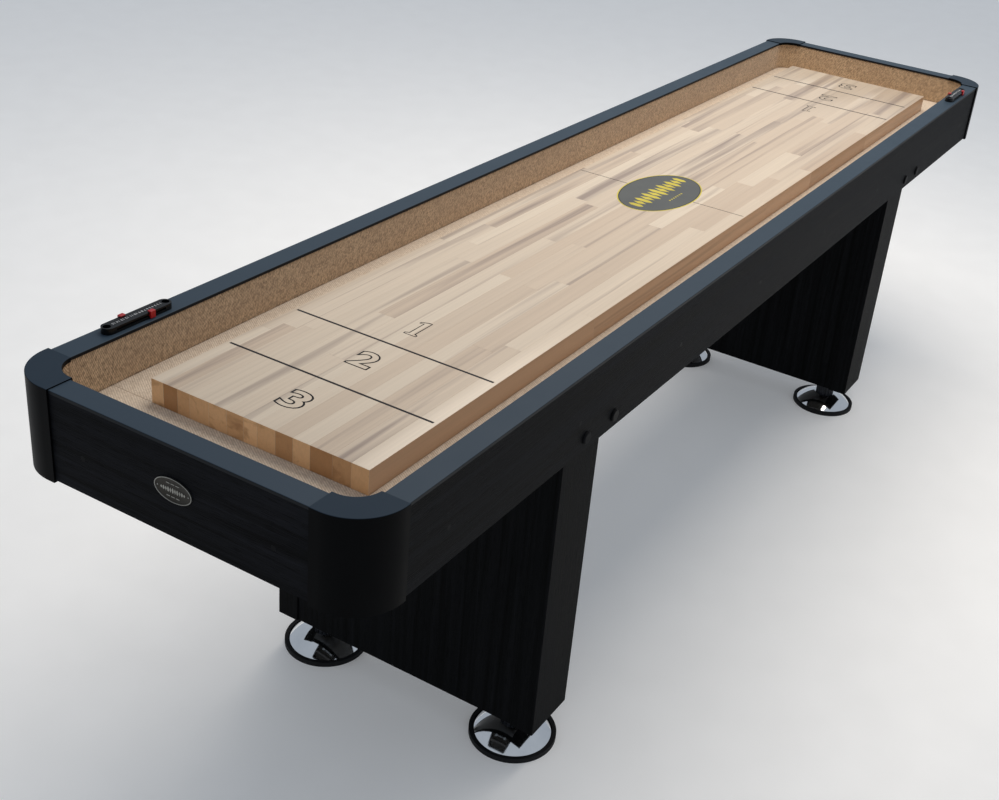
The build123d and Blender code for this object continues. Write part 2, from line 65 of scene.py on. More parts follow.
def settle(piece, name):
    """Names a new piece and writes its place into its mesh."""
    piece.name = name
    take(piece)
    bpy.ops.object.transform_apply(location=True, rotation=True, scale=True)
    return piece


def block(name, low, high):
    """A square block between two corners, to be shaped further."""
    take()
    low, high = Vector(low), Vector(high)
    bpy.ops.mesh.primitive_cube_add(size=1, location=(low + high) / 2)
    bpy.context.object.scale = high - low
    return settle(bpy.context.object, name)


def edit(piece, kind, wanted):
    """Opens a piece with only the wanted corners, edges or faces selected."""
    take(piece)
    bpy.ops.object.mode_set(mode="EDIT")
    bpy.ops.mesh.select_mode(type=kind)
    bpy.ops.mesh.select_all(action="DESELECT")
    shape = bmesh.from_edit_mesh(piece.data)
    for item in {"VERT": shape.verts, "EDGE": shape.edges, "FACE": shape.faces}[kind]:
        if wanted(item):
            item.select_set(True)
    shape.select_flush_mode()
    bmesh.update_edit_mesh(piece.data)


def close():
    """Leaves edit mode."""
    bpy.ops.object.mode_set(mode="OBJECT")


def modify(piece, kind, **settings):
    """Adds a modifier and applies it."""
    take(piece)
    added = piece.modifiers.new(kind.lower(), kind)
    for name, value in settings.items():
        setattr(added, name, value)
    bpy.ops.object.modifier_apply(modifier=added.name)
    return piece


def soften(piece, width, segments=2, degrees=30):
    """Rounds the sharp edges of a piece."""
    return modify(
        piece,
        "BEVEL",
        width=width,
        segments=segments,
        limit_method="ANGLE",
        angle_limit=math.radians(degrees),
    )


def smooth(piece, degrees=35):
    """Shades a piece smooth, with hard edges where its faces turn further than this."""
    take(piece)
    bpy.ops.object.shade_smooth_by_angle(angle=math.radians(degrees))
    return piece


def join(name, pieces):
    """Makes one piece of several."""
    take(*pieces)
    bpy.ops.object.join()
    bpy.context.object.name = name
    return bpy.context.object


def cad_copy(node, name):
    """A copy of a CAD node with a mesh of its own, its flat faces merged, ready to be shaped."""
    piece = bpy.data.objects.new(name, cad[node].data.copy())
    bpy.context.scene.collection.objects.link(piece)
    take(piece)
    bpy.ops.mesh.customdata_custom_splitnormals_clear()
    edit(piece, "VERT", lambda corner: True)
    bpy.ops.mesh.remove_doubles(threshold=weld_distance)
    bpy.ops.mesh.dissolve_limited(angle_limit=math.radians(1))
    close()
    return piece


def dress(piece, finish_used, body, slot, *stands_for):
    """Gives a piece its finish, its body and the nodes it stands for; its slot argument is not
    used.
    Printed ink has no slot of its own."""
    if finish_used:
        piece.data.materials.clear()
        piece.data.materials.append(finish_used)
    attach(piece, body)
    if stands_for:
        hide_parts(*stands_for)
    return piece


# ---------------------------------------------------------------- finishes
def linear(code):
    """An sRGB hex colour as the linear colour that a shader takes."""
    parts = [int(code[i : i + 2], 16) / 255 for i in (1, 3, 5)]
    return tuple(c / 12.92 if c <= 0.04045 else ((c + 0.055) / 1.055) ** 2.4 for c in parts) + (1,)


def finish(name, **sockets):
    """A new material. Returns it with its shader."""
    material = bpy.data.materials.new(name)
    material.use_nodes = True
    shader = material.node_tree.nodes["Principled BSDF"]
    for socket, value in sockets.items():
        shader.inputs[socket.replace("_", " ")].default_value = value
    return material, shader


def add(material, kind, links=None, stops=None, **settings):
    """Adds a node with its settings and links."""
    tree = material.node_tree
    node = tree.nodes.new(kind)
    for name, value in settings.items():
        setattr(node, name, value)
    if stops:
        points = node.color_ramp.elements
        points.remove(points[1])
        points[0].position, points[0].color = stops[0][0], linear(stops[0][1])
        for place, colour in stops[1:]:
            points.new(place).color = linear(colour)
    for name, value in (links or {}).items():
        if isinstance(value, bpy.types.NodeSocket):
            tree.links.new(value, node.inputs[name])
        else:
            node.inputs[name].default_value = value
    return node


def woodgrain(name, dark, light, along):
    """Embossed vinyl wrap, printed and pressed with an open oak grain that runs along one axis.
    Long soft streaks about 12 mm wide, pores about 1 mm wide and 25 mm long."""
    material, shader = finish(name, Specular_IOR_Level=0.03)
    place = add(material, "ShaderNodeTexCoord").outputs["Object"]
    streak = [80, 80, 80]
    pore = [700, 700, 700]
    streak[along], pore[along] = 2.2, 34
    broad = add(material, "ShaderNodeMapping", {"Vector": place, "Scale": streak})
    fine = add(material, "ShaderNodeMapping", {"Vector": place, "Scale": pore})
    bands = add(
        material,
        "ShaderNodeTexNoise",
        {"Vector": broad.outputs[0], "Scale": 1, "Detail": 5, "Distortion": 0.6},
    )
    pores = add(
        material, "ShaderNodeTexNoise", {"Vector": fine.outputs[0], "Scale": 1, "Detail": 2}
    )
    tone = add(
        material, "ShaderNodeValToRGB", {"Fac": bands.outputs["Fac"]}, [(0.3, dark), (0.7, light)]
    )
    pits = add(
        material,
        "ShaderNodeMapRange",
        {"Value": pores.outputs["Fac"], "From Min": 0.36, "From Max": 0.5},
    )
    shade = add(
        material, "ShaderNodeMapRange", {"Value": pits.outputs[0], "To Min": 0.55, "To Max": 1.0}
    )
    colour = add(
        material,
        "ShaderNodeMix",
        {0: 1.0, 6: tone.outputs[0], 7: shade.outputs[0]},
        data_type="RGBA",
        blend_type="MULTIPLY",
    )
    gloss = add(
        material,
        "ShaderNodeMapRange",
        {"Value": bands.outputs["Fac"], "To Min": 0.45, "To Max": 0.62},
    )
    relief = add(
        material, "ShaderNodeBump", {"Height": pits.outputs[0], "Strength": 0.5, "Distance": 0.0003}
    )
    links = material.node_tree.links
    links.new(colour.outputs[2], shader.inputs["Base Color"])
    links.new(gloss.outputs[0], shader.inputs["Roughness"])
    links.new(relief.outputs[0], shader.inputs["Normal"])
    return material


def grained(name, dark, light, grit, depth, roughness, dust_and_sheen=None, **sockets):
    """A moulded, cast, coated or plated surface: a fine even grit of the given size in millimetres,
    with slow changes of tone and gloss from handling, and a dusty bloom with a painted sheen on
    what faces up."""
    material, shader = finish(name, **sockets)
    place = add(material, "ShaderNodeTexCoord").outputs["Object"]
    grit_noise = add(
        material, "ShaderNodeTexNoise", {"Vector": place, "Scale": 500 / grit, "Detail": 2}
    )
    slow = add(
        material, "ShaderNodeTexNoise", {"Vector": place, "Scale": 9, "Detail": 5, "Roughness": 0.6}
    )
    tone = add(
        material, "ShaderNodeValToRGB", {"Fac": slow.outputs["Fac"]}, [(0.35, dark), (0.68, light)]
    )
    gloss = add(
        material,
        "ShaderNodeMapRange",
        {
            "Value": slow.outputs["Fac"],
            "From Min": 0.3,
            "From Max": 0.7,
            "To Min": roughness[0],
            "To Max": roughness[1],
        },
    )
    relief = add(
        material,
        "ShaderNodeBump",
        {"Height": grit_noise.outputs["Fac"], "Strength": 0.6, "Distance": depth / 1000},
    )
    links = material.node_tree.links
    links.new(tone.outputs[0], shader.inputs["Base Color"])
    # Painted sheen: faces that point up are mixed towards the given colour, which stands for
    # dusting and for a painted reflection of the sky.
    if dust_and_sheen:
        facing = add(material, "ShaderNodeNewGeometry").outputs["Normal"]
        axes = add(material, "ShaderNodeSeparateXYZ", {"Vector": facing})
        upward_share = add(
            material,
            "ShaderNodeMapRange",
            {"Value": axes.outputs["Z"], "From Min": 0.35, "From Max": 0.95, "To Max": 0.95},
        )
        bloom = add(
            material,
            "ShaderNodeMix",
            {0: upward_share.outputs[0], 6: tone.outputs[0], 7: linear(dust_and_sheen)},
            data_type="RGBA",
        )
        links.new(bloom.outputs[2], shader.inputs["Base Color"])
    links.new(gloss.outputs[0], shader.inputs["Roughness"])
    links.new(relief.outputs[0], shader.inputs["Normal"])
    return material


def hard_maple(name, dark, light, streak, grain):
    """Hard rock maple under a satin lacquer: pale cream, each finger-jointed block in its own
    shade, with thin grain lines and a few pinkish-brown and grey mineral streaks."""
    material, shader = finish(name, Roughness=0.34, Coat_Weight=0.25, Coat_Roughness=0.22)
    links = material.node_tree.links
    place = add(material, "ShaderNodeTexCoord").outputs["Object"]
    own = add(material, "ShaderNodeAttribute", attribute_name="block_tone")
    part = add(material, "ShaderNodeSeparateColor", {"Color": own.outputs["Color"]})
    apart = add(
        material,
        "ShaderNodeVectorMath",
        {0: own.outputs["Color"], 1: (7.0, 5.0, 3.0)},
        operation="MULTIPLY",
    )
    shifted = add(
        material, "ShaderNodeVectorMath", {0: place, 1: apart.outputs[0]}, operation="ADD"
    )
    broad = add(material, "ShaderNodeMapping", {"Vector": shifted.outputs[0], "Scale": grain[0]})
    fine = add(material, "ShaderNodeMapping", {"Vector": shifted.outputs[0], "Scale": grain[1]})
    flow = add(
        material,
        "ShaderNodeTexNoise",
        {"Vector": broad.outputs[0], "Scale": 1, "Detail": 4, "Distortion": 0.5},
    )
    lines = add(
        material,
        "ShaderNodeTexNoise",
        {"Vector": fine.outputs[0], "Scale": 1, "Detail": 3, "Distortion": 0.3},
    )
    tone = add(
        material,
        "ShaderNodeMix",
        {0: part.outputs[0], 6: linear(dark), 7: linear(light)},
        data_type="RGBA",
    )
    fleck = add(
        material,
        "ShaderNodeMapRange",
        {
            "Value": lines.outputs["Fac"],
            "From Min": 0.3,
            "From Max": 0.7,
            "To Min": 0.94,
            "To Max": 1.03,
        },
    )
    lined = add(
        material,
        "ShaderNodeMix",
        {0: 1.0, 6: tone.outputs[2], 7: fleck.outputs[0]},
        data_type="RGBA",
        blend_type="MULTIPLY",
    )
    share = add(
        material,
        "ShaderNodeMath",
        {0: part.outputs[1], 1: 0.2, 2: flow.outputs["Fac"]},
        operation="MULTIPLY_ADD",
    )
    mineral = add(
        material,
        "ShaderNodeMapRange",
        {"Value": share.outputs[0], "From Min": 0.65, "From Max": 0.86, "To Max": 0.8},
    )
    streaked = add(
        material,
        "ShaderNodeMix",
        {0: mineral.outputs[0], 6: lined.outputs[2], 7: linear(streak)},
        data_type="RGBA",
    )
    gloss = add(
        material,
        "ShaderNodeMapRange",
        {"Value": lines.outputs["Fac"], "To Min": 0.28, "To Max": 0.42},
    )
    relief = add(
        material,
        "ShaderNodeBump",
        {"Height": lines.outputs["Fac"], "Strength": 0.15, "Distance": 0.0002},
    )
    links.new(streaked.outputs[2], shader.inputs["Base Color"])
    links.new(gloss.outputs[0], shader.inputs["Roughness"])
    links.new(relief.outputs[0], shader.inputs["Normal"])
    return material


def looped_carpet(name, shaded_gap, top, worn):
    """Tan loop-pile olefin carpet, woven in rows of 4 mm loops: light yarn tops over gaps painted
    dark for their shade, fuzzy, with a slow mottling from loop to loop and dusty patches."""
    material, shader = finish(
        name, Roughness=0.95, Specular_IOR_Level=0.15, Sheen_Weight=0.25, Sheen_Roughness=0.5
    )
    links = material.node_tree.links
    place = add(material, "ShaderNodeTexCoord").outputs["Object"]
    pile = add(material, "ShaderNodeAttribute", attribute_name="pile")
    yarn = add(material, "ShaderNodeTexNoise", {"Vector": place, "Scale": 420, "Detail": 1})
    patch = add(material, "ShaderNodeTexNoise", {"Vector": place, "Scale": 14, "Detail": 4})
    fibre = add(material, "ShaderNodeTexNoise", {"Vector": place, "Scale": 1500, "Detail": 2})
    # The pile value paints the gaps dark: painted shade between the loops, over the yarn's own
    # tone.
    level = add(
        material,
        "ShaderNodeMath",
        {0: yarn.outputs["Fac"], 1: 0.5, 2: pile.outputs["Fac"]},
        operation="MULTIPLY_ADD",
    )
    tone = add(material, "ShaderNodeValToRGB", {"Fac": level.outputs[0]}, [(0.25, shaded_gap), (1.0, top)])
    aged = add(
        material,
        "ShaderNodeMapRange",
        {"Value": patch.outputs["Fac"], "From Min": 0.35, "From Max": 0.75, "To Max": 0.35},
    )
    colour = add(
        material,
        "ShaderNodeMix",
        {0: aged.outputs[0], 6: tone.outputs[0], 7: linear(worn)},
        data_type="RGBA",
    )
    relief = add(
        material,
        "ShaderNodeBump",
        {"Height": fibre.outputs["Fac"], "Strength": 0.6, "Distance": 0.0006},
    )
    links.new(colour.outputs[2], shader.inputs["Base Color"])
    links.new(relief.outputs[0], shader.inputs["Normal"])
    return material


# Embossed vinyl wrap with a black oak print, the grain along the long aprons: dull, nearly black.
apron_side_wrap = woodgrain("woodgrain_wrap_side", "#070809", "#1a1b1e", 0)
# The same wrap with its grain across the table on the end aprons.
apron_end_wrap = woodgrain("woodgrain_wrap_end", "#08090a", "#1c1d21", 1)
# The same wrap with upright grain on the legs, painted a little darker for the shade under the
# cabinet.
shaded_leg_wrap = woodgrain("woodgrain_wrap_leg_shaded", "#060707", "#141517", 2)
# Injection-moulded ABS with a spark-eroded texture, about 0.8 mm grit: a soft grey-blue bloom on
# top, dusty and with a painted sheen of the sky.
casting_abs = grained(
    "moulded_abs_corner",
    "#040405",
    "#08090a",
    0.8,
    0.03,
    (0.4, 0.52),
    dust_and_sheen="#303c48",
    Specular_IOR_Level=0.04,
)
# High-pressure laminate with a leather-fine print, 1 mm grit: nearly black with a low sheen, slate
# grey on top where a dusty bloom and a painted sheen of the sky are mixed in.
rail_hpl = grained(
    "pressure_laminate_rail",
    "#0f1216",
    "#161b20",
    1.0,
    0.02,
    (0.4, 0.52),
    dust_and_sheen="#384653",
    Specular_IOR_Level=0.12,
)
# Moulded ABS of the scorers, nearly black, a little glossier where fingers rub it.
scorer_abs = grained(
    "moulded_abs_scorer", "#08090a", "#101113", 0.7, 0.02, (0.25, 0.42), Specular_IOR_Level=0.25
)
# Red ABS of the sliders, glossy, with faint rub marks.
slider_abs = grained("moulded_abs_slider", "#9c0f16", "#b8171e", 0.7, 0.02, (0.22, 0.38))
# Moulded nitrile rubber, dull charcoal with dust in its grit.
foot_nitrile = grained(
    "moulded_nitrile_pad", "#0b0c0d", "#16171a", 1.2, 0.06, (0.6, 0.8), Specular_IOR_Level=0.2
)
# Bright chrome plate over pressed steel: mirror-like, with slow smears from polishing.
bright_chrome = grained(
    "chrome_plate", "#dfe2e5", "#f2f4f5", 6.0, 0.008, (0.03, 0.12), Metallic=1.0
)
# Blackened turned steel of the knobs and studs, oily and dark.
black_turned = grained(
    "blackened_turned_steel", "#26272a", "#3d3f43", 0.9, 0.03, (0.3, 0.48), Metallic=1.0
)
# Bright zinc plate: pale blue-grey with a faint spangle.
zinc_plate = grained("zinc_plate", "#8f959b", "#b4babf", 1.5, 0.03, (0.28, 0.5), Metallic=1.0)
# Black oxide on screws and bolts: near-black, satin.
black_oxide = grained(
    "black_oxide_steel", "#08090a", "#121315", 0.8, 0.03, (0.4, 0.6), Specular_IOR_Level=0.06
)
# Cast pewter, antiqued: light worn metal on a dark field.
pewter_bright = grained("cast_pewter", "#6f6e69", "#a6a59f", 1.2, 0.05, (0.25, 0.42), Metallic=1.0)
# The hollows of the same badge, left dark and matt by the antiquing.
pewter_dark = grained(
    "antiqued_pewter", "#24221f", "#45423c", 1.6, 0.18, (0.45, 0.65), Metallic=0.8
)
# Medium-density board sealed with thin black paint, the fleck of pressed fibres showing through.
pressed_board = grained(
    "sealed_fibre_board", "#151413", "#211f1d", 2.0, 0.08, (0.6, 0.8), Specular_IOR_Level=0.2
)
# Screen-printed ink on the lacquer, dry and slightly uneven.
printed_black = grained(
    "screen_ink_black", "#18181b", "#242428", 1.0, 0.01, (0.5, 0.65), Specular_IOR_Level=0.2
)
# Grey ink of the oval, flat and even.
printed_grey = grained(
    "screen_ink_grey", "#575a5b", "#616463", 1.5, 0.01, (0.5, 0.65), Specular_IOR_Level=0.2
)
# Opaque yellow ink, slightly mottled where it lies over the grey.
printed_yellow = grained("screen_ink_yellow", "#c3b236", "#d6c74c", 1.5, 0.01, (0.45, 0.6))
# White pad print on the scorers, thin at its edges.
printed_white = grained("pad_print_white", "#c2c4c6", "#dadcde", 1.0, 0.01, (0.45, 0.6))
# Hard rock maple, planed and lacquered satin: warm cream blocks, thin lines, grey-brown streaks.
maple_face = hard_maple(
    "rock_maple_face", "#cbb69f", "#e0d0ba", "#8b786e", ((1.0, 44, 44), (3, 230, 230))
)
# The same maple on the sawn and sanded long edge, painted browner and darker for the shade on the
# edge, with finer lines.
maple_edge_shaded = hard_maple(
    "rock_maple_edge_shaded", "#b08c6c", "#cba98a", "#8d7058", ((1.3, 62, 62), (4, 300, 300))
)
# The same maple cut across the grain: it soaks up lacquer and turns honey brown,
# each stave in its own shade.
maple_end = hard_maple(
    "rock_maple_end_grain", "#ab7b4b", "#f2c897", "#a87c50", ((60, 40, 60), (420, 300, 160))
)
# Pine battens stained black and left matt, the grain just showing.
pine = hard_maple(
    "black_stained_pine", "#191715", "#262320", "#100f0e", ((4, 40, 40), (14, 300, 300))
)
# Tan loop-pile olefin carpet on the walls of the gutter, stretched and glued:
# fuzzy 4 mm loops over gaps painted dark for their shade.
wall_loops = looped_carpet("loop_carpet_wall", "#5a4630", "#e0c29e", "#a88c70")
# The same carpet laid on the gutter floor, painted paler for the light that falls on it.
lit_floor_loops = looped_carpet("loop_carpet_floor_lit", "#b3a08b", "#e6d6c2", "#d2c1ad")


# ---------------------------------------------------------------- playfield
board_low, board_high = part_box("playfield")
board_rounding = 0.0012
joint_chamfer = 0.00018
stave_count = 13
shortest_block = 0.15


def maple_block(name, low, high, tone):
    """One finger-jointed block of a stave, the board's outer top edges rounded on it."""
    piece = block(name, low, high)

    def outer(edge):
        a, b = (corner.co for corner in edge.verts)
        if min(a.z, b.z) < board_high.z - tolerance:
            return False
        along_side = abs(a.y - b.y) < tolerance and abs(abs(a.y) - board_high.y) < tolerance
        along_end = abs(a.x - b.x) < tolerance and abs(abs(a.x) - board_high.x) < tolerance
        return along_side or along_end

    edit(piece, "EDGE", outer)
    bpy.ops.mesh.bevel(offset=board_rounding, segments=2, affect="EDGES")
    close()
    soften(piece, joint_chamfer, 1, 50)
    shade = piece.data.color_attributes.new("block_tone", "FLOAT_COLOR", "POINT")
    shade.data.foreach_set("color", tone * len(piece.data.vertices))
    return piece


def playfield():
    """Thirteen glued staves of uneven width, each made of blocks joined end to end."""
    widths = [random.uniform(0.7, 1.3) for stave in range(stave_count)]
    unit = (board_high.y - board_low.y) / sum(widths)
    blocks, y = [], board_low.y
    for width in widths:
        x = board_low.x
        run = random.uniform(0.18, 0.7)
        while x < board_high.x - tolerance:
            reach = min(x + run, board_high.x)
            if board_high.x - reach < shortest_block:
                reach = board_high.x
            tone = [random.random() ** 0.8, random.random(), random.random(), 1.0]
            low, high = (x, y, board_low.z), (reach, y + width * unit, board_high.z)
            blocks.append(maple_block("block", low, high, tone))
            x, run = reach, random.uniform(0.25, 0.75)
        y += width * unit
    piece = join("playfield_staves", blocks)
    # End faces take the end grain; long edges take the maple painted darker for their shade.
    for finish_used in (maple_face, maple_end, maple_edge_shaded):
        piece.data.materials.append(finish_used)
    for face in piece.data.polygons:
        if abs(face.normal.x) > 0.8:
            face.material_index = 1
        elif abs(face.normal.y) > 0.8:
            face.material_index = 2
    smooth(piece, 30)
    dress(piece, None, "table", "maple", "playfield")


playfield()

ink_thickness = 0.00015
ink_floor = board_high.z - 0.00005
ink_top = board_high.z + ink_thickness
line_half_width = 0.0021
line_reach = 0.184
middle_half_width = 0.0008
middle_from, middle_to = 0.074, 0.1865


def score_lines():
    """Foul lines 6 and 12 inches from each end and the thin line across the middle."""
    strokes = []
    for sign in (-1, 1):
        for inches in (6, 12):
            x = sign * (board_high.x - inches * inch)
            low = (x - line_half_width, -line_reach, ink_floor)
            strokes.append(block("stroke", low, (x + line_half_width, line_reach, ink_top)))
        low, high = sorted((sign * middle_from, sign * middle_to))
        low = (-middle_half_width, low, ink_floor)
        strokes.append(block("stroke", low, (middle_half_width, high, ink_top)))
    piece = soften(join("score_lines", strokes), 0.00006, 1)
    dress(piece, printed_black, "table", None)


score_lines()


def lettering(name, words, size, centre, turn, height, outline=0.0, bold=0.0):
    """Flat printed figures, filled or in outline, centred on a place and turned about Z."""
    take()
    bpy.ops.object.text_add()
    text = bpy.context.object
    text.data.body = words
    text.data.align_x = "CENTER"
    text.data.resolution_u = 4
    text.data.offset = bold
    if outline:
        text.data.fill_mode = "NONE"
        text.data.bevel_depth = outline
        text.data.bevel_resolution = 0
    else:
        text.data.extrude = height / 2
    take(text)
    bpy.ops.object.convert(target="MESH")
    corners = [Vector(corner) for corner in text.bound_box]
    low = Vector([min(c[i] for c in corners) for i in range(3)])
    high = Vector([max(c[i] for c in corners) for i in range(3)])
    middle = (low + high) / 2
    scale = [size[0] / (high.x - low.x), size[1] / (high.y - low.y), height / (high.z - low.z)]
    for corner in text.data.vertices:
        corner.co = [(corner.co[i] - middle[i]) * scale[i] for i in range(3)]
    text.location = centre
    text.rotation_euler = (0, 0, turn)
    settle(text, name)
    edit(text, "VERT", lambda corner: True)
    bpy.ops.mesh.remove_doubles(threshold=0.000005)
    close()
    return text


digit_width, digit_height = 0.042, 0.053
digit_thickness = 0.0002
# The outline's weight and spread are in the typeface's own units, the one's in metres.
outline_weight, outline_spread = 0.018, 0.03
one_weight, one_flattening = 0.0012, 0.13
# The digits' middles, in inches from the cabinet's end.
digit_places = (("3", 9.22), ("2", 15.44), ("1", 20.83))
cabinet_half_length = 1.3716
# A one with a flag and a flared foot, in shares of its height.
one_outline = [
    (-0.21, -0.5),
    (0.21, -0.5),
    (0.21, -0.43),
    (0.11, -0.38),
    (0.11, 0.5),
    (0.0, 0.5),
    (-0.22, 0.4),
    (-0.22, 0.33),
    (-0.09, 0.36),
    (-0.09, -0.38),
    (-0.21, -0.43),
]


def outlined_one(name, height, centre, turn):
    """The same thin printed outline as the other figures, drawn as a closed line."""
    line = bpy.data.curves.new(name, "CURVE")
    line.dimensions = "3D"
    line.bevel_depth = one_weight
    line.bevel_resolution = 0
    run = line.splines.new("POLY")
    run.points.add(len(one_outline) - 1)
    for point, (x, y) in zip(run.points, one_outline):
        point.co = (x * height, y * height, 0, 1)
    run.use_cyclic_u = True
    figure = bpy.data.objects.new(name, line)
    bpy.context.scene.collection.objects.link(figure)
    take(figure)
    bpy.ops.object.convert(target="MESH")
    figure = bpy.context.object
    figure.location = centre
    figure.rotation_euler = (0, 0, turn)
    figure.scale = (1, 1, one_flattening)
    return settle(figure, name)


for end, sign in ends.items():
    turn = sign * math.pi / 2
    for digit, inches in digit_places:
        place = (sign * (cabinet_half_length - inches * inch), 0, ink_floor + 0.0001)
        name = f"score_{digit}_{end}"
        if digit == "1":
            figure = outlined_one(name, digit_height, place, turn)
        else:
            figure = lettering(
                name,
                digit,
                (digit_width, digit_height),
                place,
                turn,
                digit_thickness,
                outline=outline_weight,
                bold=outline_spread,
            )
        dress(figure, printed_black, "table", None)


def oval(name, long, short, low, high, finish_used, hole=None):
    """A printed oval or oval ring round the middle of the board."""
    take()
    bpy.ops.mesh.primitive_cylinder_add(
        vertices=96, radius=0.5, depth=high - low, location=(0, 0, (low + high) / 2)
    )
    bpy.context.object.scale = (long, short, 1)
    piece = settle(bpy.context.object, name)
    if hole:
        edit(piece, "FACE", lambda face: abs(face.normal.z) > 0.9)
        bpy.ops.mesh.inset(thickness=hole)
        bpy.ops.mesh.bridge_edge_loops()
        close()
    soften(piece, 0.00004, 1)
    dress(piece, finish_used, "table", None)


oval("centre_oval_field", 0.250, 0.150, ink_floor, ink_top, printed_grey)
oval("centre_oval_ring", 0.2506, 0.1506, ink_floor, ink_top + 0.00005, printed_yellow, 0.0024)
oval("centre_oval_edge", 0.2442, 0.1442, ink_floor, ink_top + 0.00005, printed_black, 0.0012)


def oval_motif():
    """A row of lozenges and bars across the oval, with a short row of dots below it."""
    mark_pitch, mark_width = 0.0165, 0.0145
    dot_pitch, dot_radius, dot_row = 0.009, 0.0022, -0.036
    marks = []
    for step in range(-6, 7):
        take()
        tall = (0.036 if step % 2 else 0.048) * (1 - (step / 11) ** 2)
        bpy.ops.mesh.primitive_cylinder_add(
            vertices=4 if step % 2 else 6,
            radius=0.5,
            depth=ink_thickness,
            location=(step * mark_pitch, 0.004, ink_top),
        )
        bpy.context.object.scale = (mark_width, tall, 1)
        marks.append(settle(bpy.context.object, "mark"))
    for step in range(-3, 4):
        take()
        bpy.ops.mesh.primitive_cylinder_add(
            vertices=12,
            radius=dot_radius,
            depth=ink_thickness,
            location=(step * dot_pitch, dot_row, ink_top),
        )
        marks.append(settle(bpy.context.object, "mark"))
    dress(soften(join("centre_oval_motif", marks), 0.00003, 1), printed_yellow, "table", None)


oval_motif()


# ---------------------------------------------------------------- carpets
loop_step = 0.002
row_step = 0.003
pile_depth = 0.0008
loop_shift = 0.00025
corner_turn = 0.0363  # inner radius of the liner's rounded corners
end_face = 1.33470
end_half_width = 0.2679
end_seam = 1.2931
end_wall_thickness = 0.0040


def pile_grid(name, across, up):
    """A flat grid of loop tops and gaps, across along X and up along Y from 0, facing +Z.
    Its outermost corners are turned back by the pile's depth."""
    columns = 2 * round(across / loop_step / 2)
    rows = max(4, round(up / row_step))
    take()
    bpy.ops.mesh.primitive_grid_add(
        x_subdivisions=columns, y_subdivisions=rows, size=1, location=(0.5, 0.5, 0)
    )
    piece = settle(bpy.context.object, name)
    pile = piece.data.attributes.new("pile", "FLOAT", "POINT")
    for corner, tuft in zip(piece.data.vertices, pile.data):
        i, j = round(corner.co.x * columns), round(corner.co.y * rows)
        border = i in (0, columns) or j in (0, rows)
        top = (i + j) % 2 == 0 and not border
        # Gaps get low values and sit deeper; the low values also paint their colour dark, as shade
        # between the loops.
        tuft.value = random.uniform(0.45, 1.0) if top else random.uniform(0.0, 0.35)
        lean = 0 if border else loop_shift
        corner.co.x = corner.co.x * across + random.uniform(-lean, lean)
        corner.co.y = corner.co.y * up + random.uniform(-lean, lean)
        corner.co.z = -pile_depth * (1 - tuft.value) if not border else -pile_depth
    return piece


def close_back(piece, thickness):
    """Gives a flat carpet its backing, so that it is a closed sheet."""
    edit(piece, "EDGE", lambda edge: edge.is_boundary)
    bpy.ops.mesh.extrude_region_move(TRANSFORM_OT_translate={"value": (0, 0, -thickness)})
    bpy.ops.mesh.edge_face_add()
    close()


def place_each(piece, where):
    """Moves every corner of a piece to where the function says."""
    for corner in piece.data.vertices:
        corner.co = where(corner.co)
    piece.data.update()


def lay(piece, finish_used, slot, node):
    edit(piece, "FACE", lambda face: True)
    bpy.ops.mesh.normals_make_consistent(inside=False)
    close()
    smooth(piece, 60)
    dress(piece, finish_used, "table", slot, node)


def side_wall(side, sign):
    """Carpet on the liner of a long side, facing the gutter."""
    low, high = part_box(f"side_liner_{side}")
    across, up = high.x - low.x, high.z - low.z
    thickness = high.y - low.y
    face = low.y if sign > 0 else high.y
    piece = pile_grid(f"wall_carpet_{side}", across, up)
    close_back(piece, thickness - pile_depth)
    place_each(piece, lambda co: Vector((low.x + co.x, face - sign * co.z, low.z + co.y)))
    lay(
        piece,
        wall_loops,
        "wall_carpet",
        f"side_liner_{side}",
    )


def side_floor(side, sign):
    """Gutter carpet beside the board."""
    low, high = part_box(f"side_carpet_{side}")
    across, up = high.x - low.x, high.y - low.y
    piece = pile_grid(f"gutter_carpet_{side}", across, up)
    close_back(piece, high.z - low.z - pile_depth)
    place_each(piece, lambda co: Vector((low.x + co.x, low.y + co.y, high.z + co.z)))
    lay(
        piece,
        lit_floor_loops,
        "floor_carpet",
        f"side_carpet_{side}",
    )


def end_wall(end, sign):
    """Carpet on an end's liner, carried round both corners."""
    low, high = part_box(f"end_liner_{end}")
    straight = end_face - corner_turn - end_seam
    arc = corner_turn * math.pi / 2
    middle = 2 * (end_half_width - corner_turn)
    across, up = 2 * straight + 2 * arc + middle, high.z - low.z
    piece = pile_grid(f"wall_carpet_{end}", across, up)

    def bend(co):
        """From the flat carpet, along the straight, the corner and the end's face."""
        s = min(co.x, across - co.x)
        turn = 1 if co.x < across / 2 else -1
        if s < straight:
            point, out = (end_seam + s, end_half_width), (0, 1)
        elif s < straight + arc:
            angle = (s - straight) / corner_turn
            out = (math.sin(angle), math.cos(angle))
            point = (
                end_face - corner_turn + corner_turn * out[0],
                end_half_width - corner_turn + corner_turn * out[1],
            )
        else:
            out = (1, 0)
            point = (end_face, end_half_width - corner_turn - (s - straight - arc))
        x = point[0] - co.z * out[0]
        y = point[1] - co.z * out[1]
        return Vector((sign * x, turn * y, low.z + co.y))

    place_each(piece, bend)
    if sign < 0:
        edit(piece, "FACE", lambda face: True)
        bpy.ops.mesh.flip_normals()
        close()
    modify(piece, "SOLIDIFY", thickness=end_wall_thickness, offset=-1)
    lay(
        piece,
        wall_loops,
        "wall_carpet",
        f"end_liner_{end}",
    )


